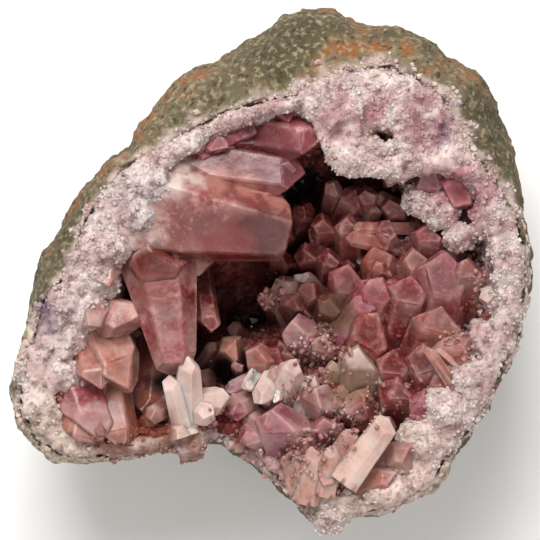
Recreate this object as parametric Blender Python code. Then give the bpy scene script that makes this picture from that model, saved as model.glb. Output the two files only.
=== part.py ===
"""Half of a pink amethyst geode, lying on the back of its rind with its hollow open to the top.

Three solids lie one inside the other: the host-rock rind, the white quartz that lines it, and the
crust of amethyst crystals that grew on the quartz. +Z points up out of the hollow and +Y to the
side where the rind is thickest. The origin is under the middle of the specimen, on the surface
that it lies on.
"""

import math
import random
from typing import NamedTuple

import bmesh
import bpy
from mathutils import Matrix, Vector, noise

MM = 0.001

# The whole specimen is 88 x 89 mm. Outlines are in millimetres, seen from above and clockwise
# from the top, and every one of them can be seen whole from the heart of the hollow.
HEART = (2.0, -1.0)
SPECIMEN_OUTLINE = (
    (8.0, 44.7), (12.3, 43.3), (15.2, 41.9), (21.5, 41.9), (25.0, 39.6), (30.8, 35.9),
    (32.8, 33.8), (36.2, 33.2), (38.2, 29.6), (38.9, 25.7), (42.0, 19.3), (42.4, 13.2),
    (43.2, 7.6), (44.2, 3.3), (43.5, -3.4), (42.0, -9.3), (40.7, -15.1), (39.1, -19.3),
    (37.0, -22.7), (34.1, -27.6), (30.2, -32.2), (29.8, -35.7), (26.5, -38.0), (20.8, -40.8),
    (13.6, -42.3), (12.4, -44.6), (8.2, -44.6), (4.9, -40.8), (0.0, -35.6), (-5.0, -30.9),
    (-9.3, -28.9), (-13.2, -31.4), (-17.0, -30.6), (-23.4, -32.2), (-27.0, -33.3),
    (-31.0, -32.6), (-34.3, -33.6), (-38.4, -32.0), (-41.3, -28.0), (-43.4, -24.8),
    (-44.2, -21.5), (-43.0, -15.8), (-40.5, -11.4), (-41.1, -8.0), (-40.7, -3.4),
    (-37.4, 4.3), (-34.6, 8.8), (-33.2, 11.0), (-28.4, 18.7), (-23.7, 20.4), (-22.0, 24.7),
    (-17.6, 30.7), (-14.6, 33.6), (-9.0, 35.8), (-2.6, 39.5), (2.4, 43.2),
)
RIND_EDGE = (
    (3.3, 28.8), (7.0, 30.9), (12.6, 33.2), (21.6, 33.5), (26.7, 30.9), (30.8, 26.3),
    (33.0, 20.0), (37.0, 15.9), (39.8, 10.8), (42.4, 4.2), (42.2, -3.4), (39.6, -14.3),
    (36.0, -22.5), (33.0, -27.2), (28.8, -31.8), (28.2, -35.2), (20.8, -39.4), (13.4, -41.0),
    (10.2, -42.8), (5.8, -39.6), (0.9, -34.6), (-4.6, -29.6), (-9.2, -27.6), (-13.4, -29.8),
    (-23.4, -30.8), (-30.9, -31.2), (-37.4, -30.8), (-41.4, -25.6), (-42.2, -21.5),
    (-41.2, -15.8), (-38.6, -10.0), (-38.0, -5.0), (-34.4, -1.0), (-31.4, 5.8), (-27.8, 12.4),
    (-24.8, 16.6), (-18.4, 20.0), (-11.6, 24.2), (-5.8, 26.4),
)
HOLLOW_EDGE = (
    (3.3, 27.2), (6.4, 26.8), (8.2, 21.4), (10.0, 15.8), (15.6, 15.0), (21.8, 14.6),
    (27.0, 16.4), (31.4, 16.6), (34.4, 12.4), (36.4, 5.8), (37.8, -3.4), (36.6, -12.6),
    (33.0, -19.4), (27.8, -25.4), (23.8, -32.0), (18.0, -36.4), (10.8, -38.2), (5.0, -34.8),
    (-0.8, -29.8), (-5.6, -26.6), (-10.0, -25.4), (-15.0, -27.4), (-25.0, -28.6),
    (-31.6, -28.4), (-36.2, -24.0), (-35.4, -14.6), (-32.0, -5.0), (-26.6, 4.2),
    (-21.4, 11.4), (-15.8, 18.0), (-10.8, 21.6), (-3.4, 24.8),
)

# Height of the broken rim all round, as (angle from +X in degrees, millimetres).
RIM_HEIGHTS = (
    (-165, 37.5), (-140, 35.5), (-112, 32.0), (-95, 32.5), (-75, 34.0), (-50, 35.5),
    (-20, 37.5), (10, 39.0), (45, 40.5), (80, 41.5), (110, 41.0), (150, 39.5), (180, 38.5),
)
# The rind's outside, from the flat that it lies on to where it is widest, as (share of the
# outline's radius, share of the rim's height), and how deep the weather has pitted it in
# millimetres: nothing where it is widest, so that the outline stays as it is. Low down the
# outline's corners are worn away, over this many degrees at the base.
RIND_OUTSIDE = (
    (0.40, 0.00, 0.0), (0.55, 0.03, 1.5), (0.70, 0.10, 3.5), (0.82, 0.20, 4.5),
    (0.91, 0.33, 4.5), (0.965, 0.47, 3.2), (1.00, 0.60, 1.2), (1.00, 0.70, 0.0),
)
WORN_CORNERS = 40
# The broken top of the rind, as (share of the way in from the outline to the quartz, share of
# the rim's height), and the same depth.
RIND_TOP = ((0.12, 0.83, 1.0), (0.34, 0.95, 1.6), (0.62, 1.00, 1.2))
KNOB_SIZE = 10.0
# A pit is cut this many times its share of the knob's size deep, up to its full depth.
PIT_STEEPNESS = 1.3
RIM_ROUGHNESS = 1.4
RIM_LUMPS = 4.0
# The quartz shelf's coarse and fine relief, each as (size, depth), and how far it swells up.
SHELF_RELIEF = ((6.0, 1.6), (2.2, 1.2))
SHELF_SWELL = 0.4

RIND_FLOOR = 9.5
LINING_THICKNESS = 2.8
GAP = 0.35
CRUST_THICKNESS = 1.4
CRUST_FLOOR_THICKNESS = 5.0
SHELF_THICKNESS = 3.0
UNDERCUT_DEPTH = 12.0
RIM_CLEARANCE = 2.4
ROOM_TOP = 60.0

STEPS_ROUND = 64
WALL_TURNS = (0, 18, 42, 68)
SHELF_SHARES = (0.18, 0.42, 0.66, 0.88)

# A vug in the broad quartz shelf opens through it into the hollow: place, size and turn.
VUG_PLACE = (18.9, 22.4, 38.0)
VUG_SIZE = (5.4, 3.0, 12.0)
VUG_TURN = -32

# A crystal's end: how tall a sharp point is beside its width, and how uneven it grew. Its root
# stands this deep in the quartz.
POINT_HEIGHT = 0.75
GROWTH_SEED = 17
UNEVEN = 0.14
ROOT_DEPTH = 2.0
LONGEST_CRYSTAL = 45.0
FLAT_ANGLE = math.radians(0.5)

# Colour and finish of each kind of stone: base colour, roughness.
HOST_ROCK = ((0.27, 0.24, 0.15), 0.95)
WHITE_QUARTZ = ((0.78, 0.70, 0.68), 0.45)
PINK_AMETHYST = ((0.56, 0.27, 0.26), 0.25)


class Crystal(NamedTuple):
    """One crystal: its tip in millimetres, the heading of its axis in the XY plane, how steeply
    it rises, its width, its thickness over its width, its turn about its own axis, how long the
    ridge at its end is beside its width, and how much wider its root is than its end."""

    tip: tuple
    heading: float
    rise: float
    width: float
    flat: float = 0.85
    turn: float = 0.0
    blunt: float = 0.25
    spread: float = 1.15


# Knolls of crystal root that stand on the hollow's floor: place of the top, radius.
KNOLLS = (
    ((24.0, -8.0, 30.0), 14.0),
    ((11.0, -23.0, 31.5), 13.0),
    ((-28.0, -20.0, 31.5), 9.0),
    ((28.0, 5.0, 31.5), 9.0),
    ((-2.0, -17.0, 26.5), 9.0),
    ((16.0, 9.0, 23.0), 10.0),
    ((-14.5, -23.5, 30.5), 6.0),
)

# The block that juts from the upper left wall, the blade below it and what stands behind them.
UPPER_LEFT = (
    Crystal((2.6, 6.6, 36.2), -13, 8, 11.0, 0.85, -14, 0.85, 2.2),
    Crystal((-15.8, -16.6, 37.5), -80, 12, 7.0, 0.70, 24, 0.70, 2.6),
    Crystal((-19.0, 3.4, 39.4), 96, 58, 10.4, 0.85, 30, 0.45, 1.2),
    Crystal((-9.4, 1.4, 33.5), 4, 10, 4.6, 0.45, 0, 0.20),
    Crystal((-13.6, 6.0, 30.5), -40, 30, 6.0, 0.85, 10, 0.20),
    Crystal((-10.2, -10.2, 30.5), -80, 40, 4.6, 0.80, 15, 0.30),
)
# Mauve crystals under the upper edge, lying along it.
UPPER_EDGE = (
    Crystal((5.0, 15.4, 36.5), -8, 7, 7.4, 0.75, 14, 0.40, 1.3),
    Crystal((8.0, 21.2, 38.5), -12, 24, 8.0, 0.75, 30, 0.50),
    Crystal((2.6, 24.8, 39.2), -64, 50, 5.6, 0.80, 12, 0.35),
    Crystal((-3.0, 22.3, 38.5), -14, 24, 5.4, 0.80, 10, 0.40),
    Crystal((24.6, 14.6, 36.5), -150, 42, 6.6, 0.85, 10, 0.40),
    Crystal((30.0, 11.4, 37.5), -105, 46, 7.4, 0.85, 20, 0.45),
    Crystal((19.4, 14.2, 35.5), -100, 30, 4.0, 0.85, 15, 0.30),
)
LEFT_WALL = (
    Crystal((-22.8, -8.6, 37.0), -10, 44, 6.4, 0.85, 10, 0.50),
    Crystal((-24.4, -19.8, 36.5), -62, 34, 8.8, 0.80, 0, 0.50),
    Crystal((-29.2, -19.4, 37.0), -76, 40, 6.8, 0.85, 20, 0.45),
    Crystal((-29.8, -27.6, 36.5), -70, 30, 7.6, 0.80, 5, 0.50),
    Crystal((-25.2, -29.6, 34.8), -76, 24, 7.2, 0.80, 25, 0.45),
    Crystal((-32.6, -31.4, 35.4), -98, 18, 6.6, 0.85, 10, 0.50),
    Crystal((-30.6, -8.6, 38.6), -120, 56, 5.4, 0.85, 15, 0.40),
    Crystal((-27.4, -2.6, 38.8), -60, 50, 5.6, 0.85, 10, 0.40),
    Crystal((-20.6, -25.4, 29.5), -95, 32, 5.2, 0.80, 10, 0.30),
)
# The pale spray at the lower left, and the grey tip that hangs over the notch in the rim.
PALE_SPRAY = (
    Crystal((-13.5, -14.4, 38.6), 88, 32, 3.8, 0.85, 10, 0.10, 2.0),
    Crystal((-16.6, -17.6, 37.0), 104, 24, 4.2, 0.80, 0, 0.15, 1.4),
    Crystal((-6.8, -21.4, 36.5), 12, 36, 4.8, 0.70, 20, 0.20, 1.5),
    Crystal((-9.6, -24.4, 37.0), -14, 52, 4.4, 0.80, 5, 0.30, 1.4),
    Crystal((-15.6, -28.4, 36.8), -112, 68, 4.4, 0.85, 0, 0.30, 1.3),
    Crystal((-13.4, -28.6, 35.2), -80, 64, 4.2, 0.85, 0, 0.40, 1.3),
)
CENTRE = (
    Crystal((-5.4, -12.6, 28.0), 62, 58, 6.2, 0.85, 10, 0.50),
    Crystal((-1.8, -13.4, 31.5), 100, 54, 5.4, 0.85, 0, 0.30),
    Crystal((1.6, -13.6, 30.5), 62, 50, 5.4, 0.85, 15, 0.30),
    Crystal((-1.8, -22.0, 36.4), -120, 58, 4.4, 0.80, 0, 0.30),
    Crystal((-6.4, -23.6, 35.0), -150, 62, 4.8, 0.85, 10, 0.35),
    Crystal((4.6, -15.2, 35.5), 66, 36, 5.2, 0.80, 20, 0.25),
    Crystal((2.2, -24.0, 38.0), 100, 52, 10.4, 0.75, 10, 0.55),
    Crystal((4.6, -8.8, 31.0), 112, 54, 6.8, 0.85, 0, 0.45),
    Crystal((9.6, -11.4, 31.0), 80, 60, 5.8, 0.85, 20, 0.45),
    Crystal((8.4, -20.4, 35.0), 82, 62, 6.4, 0.85, 0, 0.45),
    Crystal((15.3, -13.5, 35.4), 84, 48, 7.4, 0.80, 30, 0.35, 1.2),
    Crystal((16.2, -22.2, 35.0), 60, 66, 7.0, 0.85, 20, 0.45),
    Crystal((1.4, -1.4, 26.5), 130, 44, 4.6, 0.85, 0, 0.25),
    Crystal((7.6, -2.6, 26.5), 60, 52, 5.0, 0.85, 10, 0.30),
)
RIGHT = (
    Crystal((24.0, -1.3, 34.5), 80, 40, 7.6, 0.80, 28, 0.15, 1.2),
    Crystal((29.8, 2.7, 37.0), 84, 38, 9.6, 0.75, 30, 0.20, 1.2),
    Crystal((19.2, -1.5, 32.5), 62, 38, 7.2, 0.80, 30, 0.15, 1.2),
    Crystal((13.7, 0.7, 29.5), 86, 40, 6.6, 0.85, 24, 0.20, 1.2),
    Crystal((27.0, 7.2, 34.0), 92, 46, 5.8, 0.85, 20, 0.35),
    Crystal((13.6, 8.6, 30.5), 96, 52, 5.2, 0.85, 20, 0.45),
    Crystal((14.8, 13.0, 30.0), 70, 58, 5.0, 0.85, 10, 0.35),
    Crystal((8.4, 8.0, 25.0), 100, 36, 4.8, 0.80, 0, 0.25),
    Crystal((21.3, -13.6, 33.6), 96, 44, 6.8, 0.85, 10, 0.20, 1.2),
    Crystal((18.8, -8.4, 32.4), 66, 50, 9.8, 0.80, 20, 0.40, 1.2),
    Crystal((25.7, -12.3, 35.6), 100, 38, 7.0, 0.80, 28, 0.10, 1.3),
    Crystal((29.3, -6.7, 36.6), 74, 44, 8.8, 0.75, 30, 0.30, 1.2),
    Crystal((33.0, -13.0, 38.0), 40, 56, 8.6, 0.85, 20, 0.50, 1.2),
    Crystal((33.4, 1.4, 37.4), 88, 46, 6.0, 0.80, 20, 0.40, 1.2),
    Crystal((30.6, -17.2, 37.0), 70, 56, 6.2, 0.85, 0, 0.40),
    Crystal((26.0, -21.8, 36.5), 90, 66, 6.2, 0.85, 10, 0.40),
    Crystal((22.0, -18.8, 34.5), 84, 56, 6.8, 0.85, 24, 0.35),
    Crystal((18.0, 3.8, 30.0), 100, 34, 5.4, 0.70, 30, 0.30, 1.2),
)
# The lowest lobe: a pale blade that lies across it, and blunt stubs round the rim.
LOWEST_LOBE = (
    Crystal((19.2, -26.0, 39.6), 53, 16, 4.8, 0.60, 8, 0.35, 1.3),
    Crystal((15.0, -26.4, 38.6), 60, 12, 3.6, 0.60, 20, 0.20, 1.5),
    Crystal((11.6, -29.4, 38.2), 74, 14, 3.4, 0.60, 0, 0.20, 1.6),
    Crystal((7.2, -29.6, 38.0), 82, 20, 4.0, 0.60, 30, 0.20, 1.4),
    Crystal((20.8, -34.4, 36.2), 20, 30, 5.6, 0.70, 10, 0.40, 1.3),
    Crystal((23.6, -30.4, 37.0), 30, 58, 7.0, 0.85, 0, 0.50),
    Crystal((3.2, -31.6, 37.0), -140, 58, 7.0, 0.85, 10, 0.50),
    Crystal((8.4, -35.4, 37.0), -110, 60, 6.4, 0.85, 20, 0.45),
    Crystal((-2.6, -27.6, 35.0), -122, 64, 6.6, 0.80, 0, 0.40),
    Crystal((6.4, -28.8, 37.4), 60, 50, 6.4, 0.85, 10, 0.40),
)
CRYSTALS = (
    UPPER_LEFT + UPPER_EDGE + LEFT_WALL + PALE_SPRAY + CENTRE + RIGHT + LOWEST_LOBE
)


def clear_scene():
    for old in list(bpy.data.objects):
        bpy.data.objects.remove(old, do_unlink=True)


def new_collection(name, helpers=False):
    made = bpy.data.collections.new(name)
    made.hide_render = helpers
    bpy.context.scene.collection.children.link(made)
    return made


def stone(name, finish):
    colour, roughness = finish
    material = bpy.data.materials.new(name)
    material.use_nodes = True
    shader = material.node_tree.nodes["Principled BSDF"]
    shader.inputs["Base Color"].default_value = (*colour, 1.0)
    shader.inputs["Roughness"].default_value = roughness
    shader.inputs["Metallic"].default_value = 0.0
    return material


def add_object(name, mesh, collection, helper=False):
    made = bpy.data.objects.new(name, mesh)
    collection.objects.link(made)
    if helper:
        made.hide_render = True
        made.display_type = "WIRE"
    return made


def between(table, angle):
    """Value at an angle in degrees of a closed table of (angle, value), read along straight lines."""
    table = sorted(table)
    wrapped = [(table[-1][0] - 360, table[-1][1]), *table, (table[0][0] + 360, table[0][1])]
    for (a, start), (b, end) in zip(wrapped, wrapped[1:]):
        if a <= angle <= b:
            return start + (end - start) * (angle - a) / (b - a)
    return table[0][1]


def polar(outline):
    """An outline of (x, y) points as (angle, radius) seen from the heart."""
    offsets = [(x - HEART[0], y - HEART[1]) for x, y in outline]
    return [(math.degrees(math.atan2(y, x)), math.hypot(x, y)) for x, y in offsets]


SPECIMEN_POLAR = polar(SPECIMEN_OUTLINE)
RIND_POLAR = polar(RIND_EDGE)
HOLLOW_POLAR = polar(HOLLOW_EDGE)


def smoothstep(share):
    share = min(1.0, max(0.0, share))
    return share * share * (3 - 2 * share)


def rim_height(angle):
    return between(RIM_HEIGHTS, angle)


def rind_wall(angle, turn, inset):
    """Radius and height of the rind's hollow side, inset into the hollow, at a turn from the rim
    (0) to the floor (90 degrees)."""
    rim = rim_height(angle)
    radius = (between(RIND_POLAR, angle) - inset) * math.cos(math.radians(turn))
    return radius, rim - (rim - RIND_FLOOR - inset) * math.sin(math.radians(turn))


def hollow_wall(angle, turn, inset):
    """The same for the quartz lining's hollow side, whose shelf overhangs the wall below it."""
    radius, height = rind_wall(angle, turn, LINING_THICKNESS + inset)
    depth = rim_height(angle) - height
    mouth = between(HOLLOW_POLAR, angle) - inset
    under = smoothstep((depth - SHELF_THICKNESS) / UNDERCUT_DEPTH)
    return mouth * math.cos(math.radians(turn)) * (1 - under) + radius * under, height


def worn_outline(angle, spread):
    """The outline's radius at an angle, averaged over a spread of degrees to either side."""
    shares = (-1, -0.6, -0.3, 0, 0.3, 0.6, 1)
    angles = [(angle + share * spread + 180) % 360 - 180 for share in shares]
    return sum(between(SPECIMEN_POLAR, each) for each in angles) / len(shares)


def rind_section(angle):
    """The rind from the middle of its base, up the outside, over the rim and down to its floor."""
    outline, rim = between(SPECIMEN_POLAR, angle), rim_height(angle)
    band = outline - between(RIND_POLAR, angle)
    highest = RIND_OUTSIDE[-1][1]
    outside = [
        (worn_outline(angle, WORN_CORNERS * (1 - rise / highest)) * reach, rim * rise)
        for reach, rise, _ in RIND_OUTSIDE
    ]
    top = [(outline - band * share, rim * rise) for share, rise, _ in RIND_TOP]
    inside = [rind_wall(angle, turn, 0) for turn in WALL_TURNS]
    return [(0, 0), *outside, *top, *inside, (0, RIND_FLOOR)]


def lining_section(angle):
    """The quartz from under its floor, up against the rind, over the rim and down the hollow."""
    outside = [rind_wall(angle, turn, GAP) for turn in reversed(WALL_TURNS)]
    inside = [hollow_wall(angle, turn, 0) for turn in WALL_TURNS]
    (start, height), (end, _) = outside[-1], inside[0]
    across = [(start + (end - start) * share, height) for share in SHELF_SHARES]
    floor = RIND_FLOOR + LINING_THICKNESS
    return [(0, RIND_FLOOR + GAP), *outside, *across, *inside, (0, floor)]


def crust_section(angle):
    """The skin of crystal roots, which the room cuts back to its true outer side."""
    outside = [hollow_wall(angle, turn, -GAP) for turn in reversed(WALL_TURNS)]
    thicker = CRUST_FLOOR_THICKNESS - CRUST_THICKNESS
    inside = [
        hollow_wall(angle, turn, GAP + CRUST_THICKNESS + thicker * turn / 90)
        for turn in WALL_TURNS
    ]
    floor = RIND_FLOOR + LINING_THICKNESS
    top = rim_height(angle) - CRUST_THICKNESS
    outside = [(radius, min(height, top)) for radius, height in outside]
    inside = [(radius, min(height, top)) for radius, height in inside]
    return [(0, floor - GAP), *outside, *inside, (0, floor + GAP + CRUST_FLOOR_THICKNESS)]


def room_section(angle):
    """All the room that crystals may fill: the hollow, and the space above the rim."""
    wall = [hollow_wall(angle, turn, GAP) for turn in reversed(WALL_TURNS)]
    mouth, rim = wall[-1]
    brim = between(SPECIMEN_POLAR, angle) + RIM_CLEARANCE
    over = rim + RIM_CLEARANCE
    above = [(mouth, over), (brim, over), (brim, ROOM_TOP)]
    return [(0, RIND_FLOOR + LINING_THICKNESS + GAP), *wall, *above, (0, ROOM_TOP)]


def loft(name, section_at):
    """A closed mesh whose section at each angle round the heart is another one. A section starts
    and ends on the upright line through the heart."""
    angles = [-180 + 360 * step / STEPS_ROUND for step in range(STEPS_ROUND)]
    sections = [section_at(angle) for angle in angles]
    shape = bmesh.new()
    poles = [shape.verts.new((HEART[0] * MM, HEART[1] * MM, sections[0][end][1] * MM)) for end in (0, -1)]
    columns = []
    for angle, section in zip(angles, sections):
        along = Vector((math.cos(math.radians(angle)), math.sin(math.radians(angle))))
        places = [Vector(HEART) + along * radius for radius, _ in section[1:-1]]
        heights = [height for _, height in section[1:-1]]
        columns.append(
            [shape.verts.new((x * MM, y * MM, z * MM)) for (x, y), z in zip(places, heights)]
        )
    for this, following in zip(columns, columns[1:] + columns[:1]):
        shape.faces.new((poles[0], following[0], this[0]))
        for row in range(len(this) - 1):
            shape.faces.new((this[row], following[row], following[row + 1], this[row + 1]))
        shape.faces.new((poles[1], this[-1], following[-1]))
    bmesh.ops.triangulate(shape, faces=shape.faces)
    mesh = bpy.data.meshes.new(name)
    shape.to_mesh(mesh)
    shape.free()
    return mesh


def column_rows(mesh, first_row, rows, rows_in_column):
    """The vertices of some rows of a loft, as (row, vertex). Its two poles come first."""
    for column in range(STEPS_ROUND):
        for row in range(rows):
            yield row, mesh.vertices[2 + column * rows_in_column + first_row + row]


def weather(mesh):
    """Pits the rind's outside between its knobs, and roughens the broken top."""
    depths = [depth for _, _, depth in RIND_OUTSIDE + RIND_TOP]
    rows_in_column = len(depths) + len(WALL_TURNS)
    middle = Vector((*HEART, RIND_FLOOR)) * MM
    for row, vertex in column_rows(mesh, 0, len(depths), rows_in_column):
        if not depths[row]:
            continue
        knob = noise.voronoi(vertex.co / (KNOB_SIZE * MM))[0][0]
        if row < len(RIND_OUTSIDE):
            outward = (vertex.co - middle).normalized()
            vertex.co -= outward * min(1.0, knob * PIT_STEEPNESS) * depths[row] * MM
        else:
            rough = noise.noise(vertex.co / (RIM_LUMPS * MM)) * RIM_ROUGHNESS
            vertex.co.z += (rough - knob * depths[row]) * MM


def roughen_shelf(mesh):
    """Lifts and drops the quartz between the rind and the hollow, as a coarse sugary surface."""
    rows_in_column = 2 * len(WALL_TURNS) + len(SHELF_SHARES)
    for _, vertex in column_rows(mesh, len(WALL_TURNS), len(SHELF_SHARES), rows_in_column):
        relief = sum(noise.noise(vertex.co / (size * MM)) * depth for size, depth in SHELF_RELIEF)
        vertex.co.z += (relief + SHELF_SWELL) * MM


def wall_reach(angle, height):
    """How far the quartz wall stands from the heart at a height, on its bare hollow side."""
    wall = [hollow_wall(angle, turn, 0) for turn in WALL_TURNS] + [(0, RIND_FLOOR + LINING_THICKNESS)]
    for (upper, top), (lower, bottom) in zip(wall, wall[1:]):
        if bottom <= height <= top:
            return lower + (upper - lower) * (height - bottom) / (top - bottom)
    return wall[0][0] if height > wall[0][1] else 0


def length_to_wall(crystal):
    """How long a crystal is from its tip down its axis to its root in the quartz."""
    heading, rise = math.radians(crystal.heading), math.radians(crystal.rise)
    axis = Vector((math.cos(heading), math.sin(heading), 0)) * math.cos(rise)
    axis.z = math.sin(rise)
    length = crystal.width
    while length < LONGEST_CRYSTAL:
        place = Vector(crystal.tip) - axis * length
        x, y = place.x - HEART[0], place.y - HEART[1]
        if math.hypot(x, y) > wall_reach(math.degrees(math.atan2(y, x)), place.z):
            break
        length += 0.5
    return length + ROOT_DEPTH


def crystal_mesh(name, crystal, growth):
    """A six-sided prism along +Z that ends in a blunt ridge, its tip at the origin."""
    point = crystal.width * POINT_HEIGHT * (1 - crystal.blunt * 0.7)
    body = length_to_wall(crystal) - point
    shape = bmesh.new()
    half = crystal.width / 2
    bmesh.ops.create_cone(
        shape, cap_ends=True, segments=6, radius1=half * crystal.spread, radius2=half, depth=body
    )
    bmesh.ops.translate(shape, verts=shape.verts, vec=(0, 0, -point - body / 2))
    top = max(shape.faces, key=lambda face: face.calc_center_median().z)
    pointed = bmesh.ops.extrude_discrete_faces(shape, faces=[top])["faces"][0]
    ridge = Matrix.Rotation(math.radians(growth.uniform(0, 180)), 2)
    lean = Vector((growth.uniform(-1, 1), growth.uniform(-1, 1))) * crystal.width * UNEVEN
    for vertex in pointed.verts:
        across = ridge @ vertex.co.xy
        across = ridge.inverted() @ Vector((across.x * crystal.blunt, across.y * 0.1))
        vertex.co = (*(across + lean), growth.uniform(-1, 0) * point * UNEVEN)
    for vertex in shape.verts:
        vertex.co.x *= 1 + growth.uniform(-UNEVEN, UNEVEN) * 0.6
        vertex.co.y *= crystal.flat * (1 + growth.uniform(-UNEVEN, UNEVEN) * 0.6)
    bmesh.ops.triangulate(shape, faces=[f for f in shape.faces if len(f.verts) > 4])
    mesh = bpy.data.meshes.new(name)
    shape.to_mesh(mesh)
    shape.free()
    return mesh


def place_crystal(made, crystal):
    """Turns a crystal about its axis, lays the axis along its heading and puts the tip in place."""
    heading, rise = math.radians(crystal.heading), math.radians(crystal.rise)
    turn = Matrix.Rotation(math.radians(crystal.turn), 4, "Z")
    # The flattened side of a crystal faces up.
    lean = Matrix.Rotation(math.pi / 2 - rise, 4, "X")
    swing = Matrix.Rotation(heading + math.pi / 2, 4, "Z")
    upright = Matrix.Rotation(math.pi, 4, "Z")
    size = Matrix.Scale(MM, 4)
    made.matrix_world = (
        Matrix.Translation(Vector(crystal.tip) * MM) @ swing @ lean @ upright @ turn @ size
    )


def add_knoll(name, place, radius, collection):
    """A low dome of six-sided facets that a patch of crystals stands on."""
    shape = bmesh.new()
    bmesh.ops.create_icosphere(shape, subdivisions=1, radius=1.0)
    mesh = bpy.data.meshes.new(name)
    shape.to_mesh(mesh)
    shape.free()
    x, y, top = place
    depth = top - RIND_FLOOR
    made = add_object(name, mesh, collection, helper=True)
    size = Matrix.Diagonal((radius * MM, radius * MM, depth * MM, 1))
    made.matrix_world = Matrix.Translation(Vector((x, y, RIND_FLOOR)) * MM) @ size


def add_boolean(made, name, operation, other=None, others=None):
    step = made.modifiers.new(name, "BOOLEAN")
    step.operation = operation
    step.solver = "EXACT"
    if others:
        step.operand_type = "COLLECTION"
        step.collection = others
    else:
        step.object = other


def keep_outer_body(made):
    """Applies an object's modifiers and keeps its largest body, so that no pocket stays sealed
    between crystals and no chip hangs in the air. Flat stretches lose their spare edges."""
    graph = bpy.context.evaluated_depsgraph_get()
    mesh = bpy.data.meshes.new_from_object(made.evaluated_get(graph))
    shape = bmesh.new()
    shape.from_mesh(mesh)
    loose, bodies = set(shape.verts), []
    while loose:
        reached = [loose.pop()]
        for vertex in reached:
            near = {edge.other_vert(vertex) for edge in vertex.link_edges} & loose
            loose -= near
            reached.extend(near)
        bodies.append(reached)
    spare = [vertex for body in sorted(bodies, key=len)[:-1] for vertex in body]
    bmesh.ops.delete(shape, geom=spare, context="VERTS")
    bmesh.ops.dissolve_limit(
        shape, angle_limit=FLAT_ANGLE, verts=shape.verts, edges=shape.edges, use_dissolve_boundaries=False
    )
    shape.to_mesh(mesh)
    shape.free()
    made.modifiers.clear()
    made.data = mesh


def build_rind(collection):
    mesh = loft("host_rock_rind", rind_section)
    weather(mesh)
    mesh.materials.append(stone("host rock", HOST_ROCK))
    return add_object("host_rock_rind", mesh, collection)


def build_lining(collection, helpers):
    mesh = loft("quartz_lining", lining_section)
    roughen_shelf(mesh)
    mesh.materials.append(stone("white quartz", WHITE_QUARTZ))
    lining = add_object("quartz_lining", mesh, collection)
    shape = bmesh.new()
    bmesh.ops.create_icosphere(shape, subdivisions=1, radius=0.5)
    vug_mesh = bpy.data.meshes.new("vug")
    shape.to_mesh(vug_mesh)
    shape.free()
    vug = add_object("vug", vug_mesh, helpers, helper=True)
    vug.location = Vector(VUG_PLACE) * MM
    vug.rotation_euler.z = math.radians(VUG_TURN)
    vug.scale = Vector(VUG_SIZE) * MM
    add_boolean(lining, "open vug", "DIFFERENCE", vug)
    return lining


def build_crust(collection, helpers):
    growths = bpy.data.collections.new("growths")
    helpers.children.link(growths)
    for number, (place, radius) in enumerate(KNOLLS):
        add_knoll(f"knoll_{number}", place, radius, growths)
    growth = random.Random(GROWTH_SEED)
    for number, crystal in enumerate(CRYSTALS):
        mesh = crystal_mesh(f"crystal_{number}", crystal, growth)
        place_crystal(add_object(mesh.name, mesh, growths, helper=True), crystal)
    room = add_object("room", loft("room", room_section), helpers, helper=True)
    mesh = loft("amethyst_crust", crust_section)
    mesh.materials.append(stone("pink amethyst", PINK_AMETHYST))
    crust = add_object("amethyst_crust", mesh, collection)
    add_boolean(crust, "grow crystals", "UNION", others=growths)
    add_boolean(crust, "fit the hollow", "INTERSECT", room)
    keep_outer_body(crust)
    return crust


def main():
    clear_scene()
    geode = new_collection("amethyst_specimen")
    helpers = new_collection("helpers", helpers=True)
    build_rind(geode)
    build_lining(geode, helpers)
    build_crust(geode, helpers)


main()
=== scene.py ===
import math
import random
from typing import NamedTuple

import bpy
from mathutils import Matrix, Vector, noise
from mathutils.bvhtree import BVHTree


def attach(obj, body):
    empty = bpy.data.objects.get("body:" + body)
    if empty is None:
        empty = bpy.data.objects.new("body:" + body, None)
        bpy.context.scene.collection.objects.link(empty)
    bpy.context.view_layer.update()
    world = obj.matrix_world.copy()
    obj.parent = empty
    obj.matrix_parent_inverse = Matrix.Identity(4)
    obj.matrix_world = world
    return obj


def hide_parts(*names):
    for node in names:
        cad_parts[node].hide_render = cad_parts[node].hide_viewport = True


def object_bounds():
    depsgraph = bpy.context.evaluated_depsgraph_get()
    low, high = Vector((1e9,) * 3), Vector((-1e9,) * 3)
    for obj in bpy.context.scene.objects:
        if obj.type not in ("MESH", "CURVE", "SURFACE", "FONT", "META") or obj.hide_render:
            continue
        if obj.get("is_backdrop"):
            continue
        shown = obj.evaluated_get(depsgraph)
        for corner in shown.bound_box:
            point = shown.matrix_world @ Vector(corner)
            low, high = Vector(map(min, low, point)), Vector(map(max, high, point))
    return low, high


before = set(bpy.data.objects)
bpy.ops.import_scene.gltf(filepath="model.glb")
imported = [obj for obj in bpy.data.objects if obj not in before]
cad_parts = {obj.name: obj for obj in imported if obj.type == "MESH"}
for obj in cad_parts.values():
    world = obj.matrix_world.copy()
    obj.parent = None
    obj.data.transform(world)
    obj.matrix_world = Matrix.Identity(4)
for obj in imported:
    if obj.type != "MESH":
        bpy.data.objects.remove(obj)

CAD_BOX = [list(corner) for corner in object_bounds()]


# ----------------------------------------
# Floor, light and camera. The specimen lies on the back of its rind on a pale table, and the
# camera looks straight down into the hollow. A broad soft lamp stands beyond the thick side of
# the rind, so that its rim shades the deepest part of the hollow.
# ----------------------------------------
MM = 0.001
FIELD_WIDTH = 90.0 * MM
CAMERA_HEIGHT = 640.0 * MM
RIM_HEIGHT = 38.0 * MM
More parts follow.
